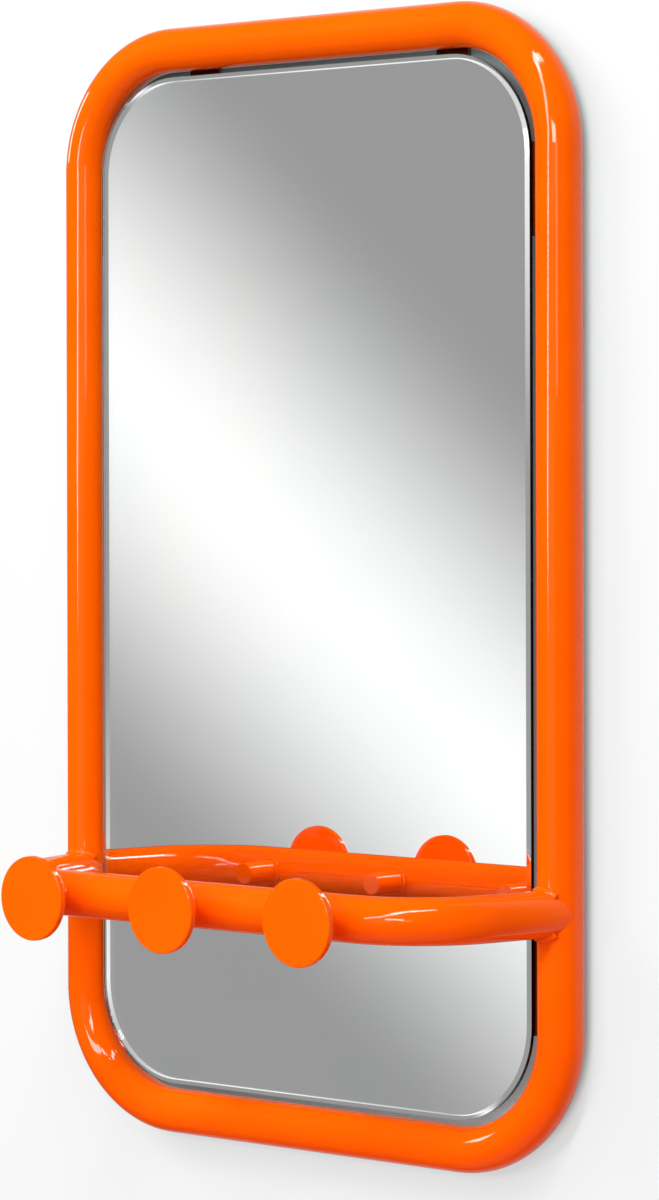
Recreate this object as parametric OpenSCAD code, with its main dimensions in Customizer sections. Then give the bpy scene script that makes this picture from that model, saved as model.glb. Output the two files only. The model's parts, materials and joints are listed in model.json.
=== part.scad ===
// A wall mirror in a frame of round steel tube. A bent rail of the same tube
// is welded across the front of the two stiles and carries three round-headed
// hooks. X runs to the viewer's right, -Y out from the wall, +Z up. The wall
// is the plane Y = 0, and Z = 0 is the line of the two keyholes' wide ends.

/* [Frame] */
// Width of the frame over its tubes
frame_width = 468; // [380:1:700]
// Height of the frame over its tubes
frame_height = 800; // [600:1:1400]
// Outside diameter of the frame's tube
tube_d = 32; // [20:0.5:42]
// Wall thickness of the frame's tube
tube_wall = 2; // [1:0.1:4]
// Radius of the frame's bends at the tube's centre line
frame_bend_r = 86; // [60:1:140]
// Gap between the back of the frame's tubes and the wall
wall_gap = 2; // [1:0.5:2.5]
// Diameter of the drain hole at the back of the bottom tube
drain_d = 5; // [3:0.5:8]

/* [Hook rail] */
// Outside diameter of the rail's tube
rail_d = 32; // [20:0.5:42]
// Wall thickness of the rail's tube
rail_wall = 2; // [1:0.1:4]
// Height of the rail's centre above the frame's bottom edge
rail_height = 183; // [150:1:400]
// Distance from the frame's centre plane out to the rail's centre
rail_reach = 116.5; // [80:0.5:160]
// Radius of the rail's bends at the tube's centre line
rail_bend_r = 72; // [50:1:110]
// Angle between each end leg of the rail and the wall
rail_leg_angle = 76; // [60:1:88]
// Fit-up gap between an arm's coped end and the stile, under the weld bead
cope_gap = 0.2; // [0.1:0.05:0.5]
// Diameter of the vent hole under the rail
vent_d = 4; // [3:0.5:8]
// Distance of the vent hole from the rail's middle
vent_x = 60; // [30:1:90]

/* [Hooks] */
// Distance from an outer hook to the end of the rail's straight run
hook_end = 11.2; // [9:0.1:40]
// Diameter of the round bar each hook is made of
peg_d = 16; // [10:0.5:20]
// Length of bar between the rail's front and the back of the disc
peg_front = 22.5; // [15:0.5:50]
// Length of bar that stands out behind the rail
peg_back = 28; // [5:0.5:45]
// Edge break on the bar's back end
peg_chamfer = 0.8; // [0.2:0.1:2]
// Radial gap between a bar and its hole in the rail
peg_gap = 0.05; // [0.01:0.01:0.1]
// Diameter of the disc on each hook
disc_d = 58.5; // [40:0.5:80]
// Thickness of the disc
disc_t = 5; // [3:0.5:8]
// Rounding of the disc's front and back edges
disc_round = 1; // [0.5:0.1:1.4]

/* [Mirror] */
// Gap between the inside of the tubes and the edge of the glass
glass_gap = 4; // [3:0.5:10]
// Thickness of the glass
glass_t = 4; // [3:0.5:6]
// Distance of the glass's front ahead of the tubes' centre plane
glass_front = 7; // [6:0.5:10]
// Corner radius of the glass
glass_corner_r = 70; // [50:1:120]
// Width of the bevel around the glass's front
bevel_w = 3.4; // [1:0.1:10]
// Depth of the bevel at the glass's edge
bevel_t = 0.8; // [0.3:0.1:1.5]
// Clearance between the glass's back and the silvering
silver_gap = 0.05; // [0.02:0.01:0.1]
// Thickness of the silvering
silver_t = 0.2; // [0.1:0.05:0.3]
// Thickness of the safety film
film_t = 0.4; // [0.2:0.1:1]
// Margin from the glass's edge to the silvering and the film
film_margin = 0.5; // [0.2:0.1:3]

/* [Glass supports] */
// Length of each support plate along its stile
plate_l = 64; // [40:1:100]
// Reach of each support plate in from its stile
plate_w = 42; // [30:1:60]
// Thickness of the support plates
plate_t = 3; // [2:0.5:5]
// Distance from the end of a stile's straight run to a support plate's centre
plate_inset = 29; // [29:1:80]
// Clearance between a support plate and the rail's arm
plate_clear = 1; // [0.5:0.1:3]
// Radius of a support plate's inner corners
plate_r = 6; // [2:0.5:12]
// Thickness of the foam tape
tape_t = 1.2; // [0.8:0.1:2]
// Width of the foam tape
tape_w = 25; // [15:1:34]
// Length of the foam tape
tape_l = 54; // [30:1:60]

/* [Wall hangers] */
// Distance from the end of the top tube's straight run to a hanger plate's centre
hanger_inset = 17; // [16:1:60]
// Width of a hanger plate
hanger_w = 28; // [24:1:32]
// Thickness of a hanger plate
hanger_t = 3; // [2.5:0.5:4]
// Distance from the frame's top edge down to the keyholes' wide ends
keyhole_drop = 52; // [48:1:70]
// Diameter of a keyhole's wide end
keyhole_d = 11; // [9:0.5:14]
// Width of a keyhole's slot
keyhole_slot = 5.5; // [4:0.5:7]
// Rise from a keyhole's wide end to the top of its slot
keyhole_rise = 10; // [8:0.5:12]
// Depth of plate below a keyhole's centre
hanger_tail = 12; // [10:0.5:20]
// Diameter of the head of a wall buffer
buffer_d = 12; // [8:0.5:16]
// Diameter of the stem of a wall buffer
buffer_stem_d = 6; // [4:0.5:8]
// Reach of a buffer's head forward round its tube
buffer_wrap = 2; // [1:0.1:3]
// Radial gap between a buffer's stem and its hole
buffer_gap = 0.05; // [0.01:0.01:0.1]
// Distance from the end of a stile's straight run to a wall buffer
buffer_inset = 118; // [80:1:150]

/* [Welds] */
// Leg length of the weld beads at the rail's ends
rail_weld = 3; // [1.5:0.1:3.5]
// Reach of those beads to each side of the stile's axis
rail_weld_reach = 12; // [6:0.5:13]
// Leg length of the weld beads around the bars and under the discs
hook_weld = 2.5; // [1:0.1:3.5]
// Leg length of the weld beads on the plates
plate_weld = 3; // [1.5:0.1:4]
// Length of each bead on a support plate, and of the gaps beside it
plate_weld_l = 18; // [10:1:19]
// Distance from a hanger bead's end to the plate's edge
hanger_weld_in = 3; // [1:0.5:6]

/* [Hidden] */
$fn = 96;
tr = tube_d / 2;
rr = rail_d / 2;
pr = peg_d / 2;
// Half sizes between the tubes' centre lines
cx = frame_width / 2 - tr;
cz = frame_height / 2 - tr;
// Centre plane of the frame and height of its middle
fy = -(wall_gap + tr);
fz = keyhole_drop - frame_height / 2;
// Ends of the straight tubes
sx = cx - frame_bend_r;
sz = cz - frame_bend_r;
// Rail
rail_z = fz - frame_height / 2 + rail_height;
rail_y = fy - rail_reach;
leg = (rail_reach - rail_bend_r * (1 - cos(rail_leg_angle))) / sin(rail_leg_angle);
bend_x = -cx + leg * cos(rail_leg_angle) + rail_bend_r * sin(rail_leg_angle);
bend_y = rail_y + rail_bend_r;
// Hooks
hook_pitch = -bend_x - hook_end;
disc_back = rail_y - rr - peg_front;
peg_end = rail_y + rr + peg_back;
// Heights above and below the frame's middle
plate_z = sz - plate_inset;
buffer_z = sz - buffer_inset;
// Distance between the two hanger plates
hanger_pitch = 2 * (sx - hanger_inset);
// Glass, from the front backwards
glass_y = fy - glass_front;
glass_back = glass_y + glass_t;
silver_y = glass_back + silver_gap;
film_y = silver_y + silver_t;
tape_y = film_y + film_t;
plate_y = tape_y + tape_t;
gw = 2 * (cx - tr - glass_gap);
gh = 2 * (cz - tr - glass_gap);
steel = [0.96, 0.36, 0.02];

// Cylinder along X, from x0 over length l
module bar_x(x0, l, r) { translate([x0, 0, 0]) rotate([0, 90, 0]) cylinder(h = l, r = r); }
// Cylinder along Y, from y0 over length l
module bar_y(y0, l, r) { translate([0, y0, 0]) rotate([-90, 0, 0]) cylinder(h = l, r = r); }
module steel_paint() { color(steel) children(); }

// ---- Frame ----
module straight_x(l) {
  difference() {
    bar_x(-l / 2, l, tr);
    bar_x(-l / 2 - 1, l + 2, tr - tube_wall);
  }
}
module frame_top_tube() {
  steel_paint() translate([0, fy, fz + cz]) straight_x(2 * sx);
}
module frame_bottom_tube() {
  steel_paint() difference() {
    translate([0, fy, fz - cz]) straight_x(2 * sx);
    translate([0, 0, fz - cz]) bar_y(fy, tr + 1, drain_d / 2);
  }
}
module stile(side) {
  difference() {
    translate([side * cx, fy, fz - sz]) cylinder(h = 2 * sz, r = tr);
    translate([side * cx, fy, fz - sz - 1]) cylinder(h = 2 * sz + 2, r = tr - tube_wall);
    for (s = [-1, 1]) {
      translate([side * cx, 0, fz + s * buffer_z]) bar_y(fy, tr + 1, buffer_stem_d / 2);
    }
  }
}
module frame_left_stile() { steel_paint() stile(-1); }
module frame_right_stile() { steel_paint() stile(1); }
// Quarter bend whose centre line runs from angle a to a + 90 degrees in the XZ plane
module frame_bend(x, z, a) {
  steel_paint() translate([x, fy, fz + z]) rotate([90, 0, 0]) rotate([0, 0, a]) difference() {
    rotate_extrude(angle = 90) translate([frame_bend_r, 0]) circle(r = tr);
    rotate_extrude(angle = 90) translate([frame_bend_r, 0]) circle(r = tr - tube_wall);
  }
}
module frame_bend_top_left() { frame_bend(-sx, sz, 90); }
module frame_bend_top_right() { frame_bend(sx, sz, 0); }
module frame_bend_bottom_left() { frame_bend(-sx, -sz, 180); }
module frame_bend_bottom_right() { frame_bend(sx, -sz, 270); }

// ---- Hook rail ----
// The left arm is placed from the stile's axis, where its leg runs along X
module arm_place() {
  translate([-cx, fy, rail_z]) rotate([0, 0, -rail_leg_angle]) children();
}
module rail_leg(r, l) {
  arm_place() bar_x(0, l, r);
}
module arm_solid(r) {
  arm_place() {
    bar_x(0, leg, r);
    translate([leg, rail_bend_r, 0]) rotate([0, 0, 270])
      rotate_extrude(angle = rail_leg_angle) translate([rail_bend_r, 0]) circle(r = r);
  }
}
module rail_arm() {
  steel_paint() difference() {
    arm_solid(rr);
    arm_solid(rr - rail_wall);
    translate([-cx, fy, rail_z - rail_d]) cylinder(h = 2 * rail_d, r = tr + cope_gap);
  }
}
module rail_arm_left() { rail_arm(); }
module rail_arm_right() { mirror([1, 0, 0]) rail_arm(); }
module rail_bar() {
  steel_paint() difference() {
    translate([0, rail_y, rail_z]) bar_x(bend_x, -2 * bend_x, rr);
    translate([0, rail_y, rail_z]) bar_x(bend_x - 1, -2 * bend_x + 2, rr - rail_wall);
    for (i = [-1, 0, 1]) translate([i * hook_pitch, rail_y, rail_z]) bar_y(-rr - 1, rail_d + 2, pr + peg_gap);
    translate([vent_x, rail_y, rail_z - rr - 1]) cylinder(h = rr, r = vent_d / 2);
  }
}
// The arm is flush with the stile at its sides, so the beads lie above and below it only
module rail_end_welds() {
  w = rail_weld_reach;
  steel_paint() for (m = [0, 1]) mirror([m, 0, 0]) difference() {
    intersection() {
      rail_leg(rr + rail_weld, tube_d);
      translate([-cx, fy, rail_z - rail_d]) cylinder(h = 2 * rail_d, r = tr + rail_weld);
      translate([-cx - w, fy - tube_d, rail_z - rail_d]) cube([2 * w, 2 * tube_d, 2 * rail_d]);
    }
    rail_leg(rr, 2 * tube_d);
    translate([-cx, fy, rail_z - 2 * rail_d]) cylinder(h = 4 * rail_d, r = tr);
  }
}

// ---- Hooks ----
module hook_peg(i) {
  steel_paint() translate([i * hook_pitch, 0, rail_z]) {
    bar_y(disc_back, peg_end - peg_chamfer - disc_back, pr);
    translate([0, peg_end - peg_chamfer, 0]) rotate([-90, 0, 0])
      cylinder(h = peg_chamfer, r1 = pr, r2 = pr - peg_chamfer);
  }
}
module hook_peg_left() { hook_peg(-1); }
module hook_peg_middle() { hook_peg(0); }
module hook_peg_right() { hook_peg(1); }
module hook_disc(i) {
  steel_paint() translate([i * hook_pitch, disc_back - disc_t, rail_z]) rotate([-90, 0, 0]) {
    translate([0, 0, disc_round]) cylinder(h = disc_t - 2 * disc_round, r = disc_d / 2);
    cylinder(h = disc_t, r = disc_d / 2 - disc_round);
    for (z = [disc_round, disc_t - disc_round])
      rotate_extrude() translate([disc_d / 2 - disc_round, z]) circle(r = disc_round);
  }
}
module hook_disc_left() { hook_disc(-1); }
module hook_disc_middle() { hook_disc(0); }
module hook_disc_right() { hook_disc(1); }
module peg_welds() {
  steel_paint() for (i = [-1, 0, 1]) difference() {
    intersection() {
      translate([i * hook_pitch, rail_y, rail_z]) bar_y(-rr - 6, rail_d + 12, pr + hook_weld);
      translate([i * hook_pitch, rail_y, rail_z]) bar_x(-pr - 6, peg_d + 12, rr + hook_weld);
    }
    translate([i * hook_pitch, rail_y, rail_z]) bar_y(-rr - 8, rail_d + 16, pr);
    translate([i * hook_pitch, rail_y, rail_z]) bar_x(-pr - 8, peg_d + 16, rr);
  }
}
module disc_welds() {
  steel_paint() for (i = [-1, 0, 1]) translate([i * hook_pitch, disc_back, rail_z]) rotate([-90, 0, 0])
    difference() {
      cylinder(h = hook_weld, r1 = pr + hook_weld, r2 = pr + 0.3);
      translate([0, 0, -1]) cylinder(h = hook_weld + 2, r = pr);
    }
}

// ---- Mirror ----
// Slab from y0 over thickness t, with round corners, in the XZ plane
module slab(w, h, r, y0, t) {
  translate([0, y0, fz]) {
    translate([-w / 2, 0, -h / 2 + r]) cube([w, t, h - 2 * r]);
    translate([-w / 2 + r, 0, -h / 2]) cube([w - 2 * r, t, h]);
    for (sx2 = [-1, 1]) for (sz2 = [-1, 1])
      translate([sx2 * (w / 2 - r), 0, sz2 * (h / 2 - r)]) bar_y(0, t, r);
  }
}
// Glass's section at one edge: from a point inside, out to the edge at x = e
module edge_section(e) {
  polygon([[0, 0], [e, 0], [e, glass_t - bevel_t], [e - bevel_w, glass_t], [0, glass_t]]);
}
module mirror_glass() {
  r = glass_corner_r;
  color([0.85, 0.9, 0.9]) translate([0, glass_back, fz]) {
    for (s = [0, 180]) rotate([0, s, 0]) {
      translate([gw / 2 - r, 0, gh / 2 - r]) rotate([90, 0, 0]) rotate_extrude(angle = 90) edge_section(r);
      translate([-gw / 2 + r, 0, gh / 2 - r]) rotate([90, 0, 0]) rotate([0, 0, 90])
        rotate_extrude(angle = 90) edge_section(r);
      translate([gw / 2 - r, 0, -gh / 2 + r]) mirror([0, 1, 0]) rotate([0, 0, 0])
        linear_extrude(height = gh - 2 * r) edge_section(r);
      translate([gw / 2 - r, 0, gh / 2 - r]) mirror([0, 1, 0]) rotate([0, -90, 0])
        linear_extrude(height = gw - 2 * r) edge_section(r);
    }
    translate([-gw / 2 + r, -glass_t, -gh / 2 + r]) cube([gw - 2 * r, glass_t, gh - 2 * r]);
  }
}
module mirror_silvering() {
  m = film_margin;
  color([0.9, 0.92, 0.93]) slab(gw - 2 * m, gh - 2 * m, glass_corner_r - m, silver_y, silver_t);
}
module safety_film() {
  m = film_margin;
  color([0.15, 0.15, 0.16]) slab(gw - 2 * m, gh - 2 * m, glass_corner_r - m, film_y, film_t);
}

// ---- Glass supports ----
module support_plates() {
  w = plate_w;
  r = plate_r;
  xi = cx - tr - w;
  steel_paint() for (sx2 = [-1, 1]) for (sz2 = [-1, 1]) difference() {
    scale([sx2, 1, 1]) translate([0, plate_y, fz + sz2 * plate_z]) {
      translate([xi + r, 0, -plate_l / 2]) cube([w - r + 4, plate_t, plate_l]);
      translate([xi, 0, -plate_l / 2 + r]) cube([w, plate_t, plate_l - 2 * r]);
      for (k = [-1, 1]) translate([xi + r, 0, k * (plate_l / 2 - r)]) bar_y(0, plate_t, r);
    }
    translate([sx2 * cx, fy, fz + sz2 * plate_z - plate_l]) cylinder(h = 2 * plate_l, r = tr);
    if (sx2 < 0) rail_leg(rr + plate_clear, 2 * tube_d);
    if (sx2 > 0) mirror([1, 0, 0]) rail_leg(rr + plate_clear, 2 * tube_d);
  }
}
module tape_pads() {
  color([0.2, 0.2, 0.21]) for (sx2 = [-1, 1]) for (sz2 = [-1, 1])
    translate([sx2 * (cx - tr - plate_w + 4 + tape_w / 2) - tape_w / 2, tape_y, fz + sz2 * plate_z - tape_l / 2])
      cube([tape_w, tape_t, tape_l]);
}
module support_plate_welds() {
  y0 = plate_y + plate_t;
  l = plate_weld_l;
  w = tr + 2 * plate_weld;
  steel_paint() for (sx2 = [-1, 1]) for (sz2 = [-1, 1]) for (k = [-1, 1]) difference() {
    intersection() {
      translate([sx2 * cx, fy, fz + sz2 * plate_z + (k - 0.5) * l]) cylinder(h = l, r = tr + plate_weld);
      translate([sx2 * cx - (sx2 + 1) / 2 * w, y0, fz + sz2 * plate_z + (k - 1) * l])
        cube([w, plate_weld, 2 * l]);
    }
    translate([sx2 * cx, fy, fz + sz2 * plate_z - plate_l]) cylinder(h = 2 * plate_l, r = tr);
  }
}

// ---- Wall hangers ----
module hanger_plates() {
  steel_paint() for (s = [-1, 1]) translate([s * hanger_pitch / 2, 0, 0]) difference() {
    translate([-hanger_w / 2, -hanger_t, -hanger_tail]) cube([hanger_w, hanger_t, hanger_tail + fz + cz]);
    translate([0, fy, fz + cz]) bar_x(-hanger_w, 2 * hanger_w, tr);
    bar_y(-hanger_t - 1, hanger_t + 2, keyhole_d / 2);
    translate([-keyhole_slot / 2, -hanger_t - 1, 0]) cube([keyhole_slot, hanger_t + 2, keyhole_rise]);
    translate([0, 0, keyhole_rise]) bar_y(-hanger_t - 1, hanger_t + 2, keyhole_slot / 2);
  }
}
module hanger_welds() {
  steel_paint() for (s = [-1, 1]) translate([s * hanger_pitch / 2, 0, 0]) difference() {
    intersection() {
      translate([0, fy, fz + cz])
        bar_x(-hanger_w / 2 + hanger_weld_in, hanger_w - 2 * hanger_weld_in, tr + plate_weld);
      translate([-hanger_w / 2, -hanger_t - plate_weld, fz + cz - tr - 2 * plate_weld])
        cube([hanger_w, plate_weld, tr + 2 * plate_weld]);
    }
    translate([0, fy, fz + cz]) bar_x(-hanger_w, 2 * hanger_w, tr);
  }
}
module wall_buffers() {
  color([0.08, 0.08, 0.08]) for (sx2 = [-1, 1]) for (sz2 = [-1, 1])
    translate([sx2 * cx, 0, fz + sz2 * buffer_z]) {
      difference() {
        bar_y(-wall_gap - buffer_wrap, wall_gap + buffer_wrap, buffer_d / 2);
        translate([0, fy, -buffer_d]) cylinder(h = 2 * buffer_d, r = tr);
      }
      bar_y(-wall_gap - buffer_wrap - tube_wall, buffer_wrap + tube_wall + wall_gap / 4,
        buffer_stem_d / 2 - buffer_gap);
    }
}

frame_top_tube();
frame_bottom_tube();
frame_left_stile();
frame_right_stile();
frame_bend_top_left();
frame_bend_top_right();
frame_bend_bottom_left();
frame_bend_bottom_right();
rail_bar();
rail_arm_left();
rail_arm_right();
rail_end_welds();
hook_peg_left();
hook_peg_middle();
hook_peg_right();
hook_disc_left();
hook_disc_middle();
hook_disc_right();
peg_welds();
disc_welds();
mirror_glass();
mirror_silvering();
safety_film();
tape_pads();
support_plates();
support_plate_welds();
hanger_plates();
hanger_welds();
wall_buffers();
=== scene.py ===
"""Looks of a wall mirror in a bent tube frame with a hook rail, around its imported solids."""

import json
import math

import bpy
from bpy.props import FloatProperty, FloatVectorProperty, PointerProperty
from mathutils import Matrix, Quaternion, Vector

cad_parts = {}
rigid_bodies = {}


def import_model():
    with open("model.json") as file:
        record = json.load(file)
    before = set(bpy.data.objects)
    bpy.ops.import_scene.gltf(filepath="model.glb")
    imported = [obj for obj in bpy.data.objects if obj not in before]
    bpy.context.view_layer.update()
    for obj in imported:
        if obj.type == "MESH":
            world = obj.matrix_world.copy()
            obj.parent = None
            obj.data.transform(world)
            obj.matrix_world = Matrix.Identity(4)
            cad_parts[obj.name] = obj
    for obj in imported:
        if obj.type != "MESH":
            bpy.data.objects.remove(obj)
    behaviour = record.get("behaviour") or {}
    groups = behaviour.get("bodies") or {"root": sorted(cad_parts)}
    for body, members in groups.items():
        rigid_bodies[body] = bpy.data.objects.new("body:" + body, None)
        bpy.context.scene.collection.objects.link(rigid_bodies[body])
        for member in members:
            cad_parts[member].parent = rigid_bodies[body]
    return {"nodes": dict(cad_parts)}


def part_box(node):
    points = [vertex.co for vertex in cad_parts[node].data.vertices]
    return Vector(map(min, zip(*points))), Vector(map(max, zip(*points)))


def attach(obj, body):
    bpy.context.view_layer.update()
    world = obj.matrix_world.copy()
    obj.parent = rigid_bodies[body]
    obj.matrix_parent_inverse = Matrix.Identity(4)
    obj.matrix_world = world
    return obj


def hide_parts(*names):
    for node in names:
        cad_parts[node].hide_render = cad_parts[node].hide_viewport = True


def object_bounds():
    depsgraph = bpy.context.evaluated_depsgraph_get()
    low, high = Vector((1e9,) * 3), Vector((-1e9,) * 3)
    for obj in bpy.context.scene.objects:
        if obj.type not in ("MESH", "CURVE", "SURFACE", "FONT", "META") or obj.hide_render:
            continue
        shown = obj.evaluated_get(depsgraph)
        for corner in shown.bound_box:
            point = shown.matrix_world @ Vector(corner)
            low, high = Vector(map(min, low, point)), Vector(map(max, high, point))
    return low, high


bl_info = {
    "name": "Mirror with hooks",
    "version": (1, 0, 0),
    "blender": (4, 5, 0),
    "location": "View3D > Sidebar > Mirror",
    "description": "Paints, glazes and lights a tube-framed wall mirror with hooks",
    "category": "Object",
}

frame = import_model()
CAD_BOX = [list(corner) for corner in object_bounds()]
MM = 0.001

# The part's one body
BODY = "root"

# The powder-coated CAD nodes, and the pieces made for the beads on the rail and its hooks
TUBES = ("frame_top_tube", "frame_bottom_tube", "frame_left_stile", "frame_right_stile",
         "frame_bend_top_left", "frame_bend_top_right",
         "frame_bend_bottom_left", "frame_bend_bottom_right")
RAIL = ("rail_bar", "rail_arm_left", "rail_arm_right")
PEGS = ("hook_peg_left", "hook_peg_middle", "hook_peg_right")
DISCS = ("hook_disc_left", "hook_disc_middle", "hook_disc_right")
PLATES = ("support_plates", "hanger_plates")
RAIL_BEADS = ("rail_end_beads", "hook_bar_beads", "disc_beads")


def centre(node):
    """Middle of a CAD node's box."""
    low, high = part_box(node)
    return (low + high) / 2


def span(node):
    """Size of a CAD node's box."""
    low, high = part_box(node)
    return high - low


# Sizes and places that the beads and the wall's shades follow, read from the solids
STILE_X = centre("frame_right_stile").x
STILE_R = span("frame_right_stile").x / 2
FRAME_Y = centre("frame_right_stile").y
FRAME_Z = centre("frame_right_stile").z
HALF_Z = centre("frame_top_tube").z - FRAME_Z
BEND_R = span("frame_bend_top_right").x - STILE_R
RAIL_Y = centre("rail_bar").y
RAIL_Z = centre("rail_bar").z
RAIL_R = span("rail_bar").z / 2
PEG_R = span("hook_peg_middle").x / 2
PEG_X = [centre(peg).x for peg in PEGS]
DISC_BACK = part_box("hook_disc_middle")[1].y
GLASS_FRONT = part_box("mirror_glass")[0].y
MIDDLE = (Vector(CAD_BOX[0]) + Vector(CAD_BOX[1])) / 2


# ---- Colours and nodes ----

def linear(hex_colour):
    """Linear RGBA from an sRGB hex colour."""
    out = []
    for i in (1, 3, 5):
        c = int(hex_colour[i:i + 2], 16) / 255
        out.append(c / 12.92 if c <= 0.04045 else ((c + 0.055) / 1.055) ** 2.4)
    return (*out, 1.0)


def add(tree, kind, links=(), inputs=None, **settings):
    """Adds a node, sets its properties and inputs, and links (input, node, output) triples."""
    node = tree.nodes.new(kind)
    for name, value in settings.items():
        setattr(node, name, value)
    for name, value in (inputs or {}).items():
        node.inputs[name].default_value = value
    for name, source, output in links:
        tree.links.new(source.outputs[output], node.inputs[name])
    return node


def blank_material(name):
    """A material with its principled shader wired to the output, and nothing else."""
    mat = bpy.data.materials.new(name)
    mat.use_nodes = True
    tree = mat.node_tree
    tree.nodes.clear()
    shader = add(tree, "ShaderNodeBsdfPrincipled")
    add(tree, "ShaderNodeOutputMaterial", [("Surface", shader, "BSDF")])
    coords = add(tree, "ShaderNodeTexCoord")
    return mat, tree, shader, coords


# Levels of a noise, which keeps near 0.5, between which a tone or a roughness changes over
TONE_CHANGE = (0.35, 0.65)
GLOSS_CHANGE = (0.3, 0.7)


def per_mm(size_mm):
    """Noise scale for features of that size, on coordinates in metres."""
    return 1000.0 / size_mm


def two_tone(tree, coords, shader, size_mm, low, high, detail=2.0):
    """Base colour that drifts slowly between two linear colours."""
    noise = add(tree, "ShaderNodeTexNoise", [("Vector", coords, "Object")],
                {"Scale": per_mm(size_mm), "Detail": detail})
    ramp = add(tree, "ShaderNodeValToRGB", [("Fac", noise, "Fac")])
    for stop, position, colour in zip(ramp.color_ramp.elements, TONE_CHANGE, (low, high)):
        stop.position = position
        stop.color = colour
    tree.links.new(ramp.outputs["Color"], shader.inputs["Base Color"])


def surface_relief(tree, coords, shader, size_mm, depth_mm, detail=1.0):
    """A fine bump of that grain and depth on the shader's normal."""
    noise = add(tree, "ShaderNodeTexNoise", [("Vector", coords, "Object")],
                {"Scale": per_mm(size_mm), "Detail": detail})
    bump = add(tree, "ShaderNodeBump", [("Height", noise, "Fac")],
               {"Strength": 1.0, "Distance": depth_mm * MM})
    tree.links.new(bump.outputs["Normal"], shader.inputs["Normal"])


def varied_roughness(tree, coords, shader, size_mm, low, high):
    """Roughness that drifts between two levels."""
    noise = add(tree, "ShaderNodeTexNoise", [("Vector", coords, "Object")],
                {"Scale": per_mm(size_mm), "Detail": 3.0})
    start, end = GLOSS_CHANGE
    level = add(tree, "ShaderNodeMapRange", [("Value", noise, "Fac")],
                {"From Min": start, "From Max": end, "To Min": low, "To Max": high})
    tree.links.new(level.outputs["Result"], shader.inputs["Roughness"])


# ---- Materials ----

# Painted shade: the plates behind the frame take these darker tones of the paint, for the shade in the
# gap round the glass
PLATE_SHADE_TONES = (linear("#5E2408"), linear("#6E2B0A"))

# Waves of the powder over a weld's uneven steel: size and depth in metres
WELD_PEEL = (1.4 * MM, 0.14 * MM)


def powder_coat(name, paint, tones, weld=False):
    """Gloss orange polyester powder coat, sprayed dry and baked on steel: it flows out to a
    glassy skin with a faint orange peel, so strip lamps draw crisp, slightly wavy lines."""
    mat, tree, shader, coords = blank_material(name)
    low, high = tones
    two_tone(tree, coords, shader, size_mm=70, low=low, high=high)
    varied_roughness(tree, coords, shader, size_mm=25, low=paint.gloss_low, high=paint.gloss_high)
    shader.inputs["IOR"].default_value = 1.5
    shader.inputs["Specular IOR Level"].default_value = 0.45
    size, depth = WELD_PEEL if weld else (paint.peel_size, paint.peel_depth)
    surface_relief(tree, coords, shader, size_mm=size / MM, depth_mm=depth / MM)
    return mat


def full_coat(paint):
    """The paint's own two tones, on the frame, the rail and the hooks."""
    return (*paint.deep_tone, 1.0), (*paint.bright_tone, 1.0)


def float_glass():
    """Clear float glass with a ground and polished bevel: colourless, so that only the bevel's
    bent view tells it from the silver behind it."""
    mat, tree, shader, coords = blank_material("float_glass")
    two_tone(tree, coords, shader, size_mm=180, low=linear("#FDFEFE"), high=linear("#FEFFFE"))
    shader.inputs["Roughness"].default_value = 0.0
    shader.inputs["IOR"].default_value = 1.52
    shader.inputs["Transmission Weight"].default_value = 1.0
    return mat


def silver_coat():
    """Silver precipitated on the glass's back and sealed with paint: a clean neutral mirror."""
    mat, tree, shader, coords = blank_material("silver_coat")
    two_tone(tree, coords, shader, size_mm=250, low=linear("#FCFCFC"), high=linear("#FEFDFD"))
    shader.inputs["Metallic"].default_value = 1.0
    shader.inputs["Roughness"].default_value = 0.0
    return mat


def backing_film():
    """Dark polyethylene safety film rolled on the mirror's back: satin, with a faint roll grain."""
    mat, tree, shader, coords = blank_material("backing_film")
    two_tone(tree, coords, shader, size_mm=30, low=linear("#2C2D2F"), high=linear("#35363A"),
             detail=4.0)
    varied_roughness(tree, coords, shader, size_mm=8, low=0.42, high=0.58)
    surface_relief(tree, coords, shader, size_mm=1.5, depth_mm=0.03, detail=2.0)
    return mat


def closed_cell_foam():
    """Closed-cell foam tape, cut to length: matte grey with fine open pores at its cut edges."""
    mat, tree, shader, coords = blank_material("closed_cell_foam")
    two_tone(tree, coords, shader, size_mm=1.2, low=linear("#3A3A3C"), high=linear("#545457"),
             detail=3.0)
    varied_roughness(tree, coords, shader, size_mm=2, low=0.85, high=0.97)
    surface_relief(tree, coords, shader, size_mm=0.6, depth_mm=0.15, detail=2.0)
    return mat


def moulded_rubber():
    """Black moulded rubber: matte with a dusty bloom and a fine mould grain."""
    mat, tree, shader, coords = blank_material("moulded_rubber")
    two_tone(tree, coords, shader, size_mm=6, low=linear("#171717"), high=linear("#242423"),
             detail=4.0)
    varied_roughness(tree, coords, shader, size_mm=4, low=0.6, high=0.75)
    surface_relief(tree, coords, shader, size_mm=0.5, depth_mm=0.04, detail=2.0)
    return mat


def dress(node, mat):
    """Gives a carried CAD node its material."""
    obj = frame["nodes"][node]
    obj.data.materials.clear()
    obj.data.materials.append(mat)


# ---- Weld beads ----

# Angle of an arm's first stretch from the plane of the stiles, as in the part's source
LEG_ANGLE = math.radians(76)

# The beads at the rail's ends reach this many degrees to each side of an arm's top and bottom
ARM_BEAD_SPREAD = 42

# Rounds the line on which an arm and a stile of one size cross
ARM_BEAD_EASE = 4 * MM

# Half the length of each bead on the plates
SUPPORT_BEAD_HALF = 7.5 * MM
HANGER_BEAD_HALF = 13 * MM

# A bead's middle line stands this far off what it joins
BEAD_LIFT = 0.3 * MM

# Steps along an arc, a ring, a straight bead and one ripple, and sides of a bead's section
ARC_STEPS = 60
RING_STEPS = 96
STRAIGHT_STEPS = 24
RIPPLE_STEPS = 8
BEAD_SIDES = 14

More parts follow.
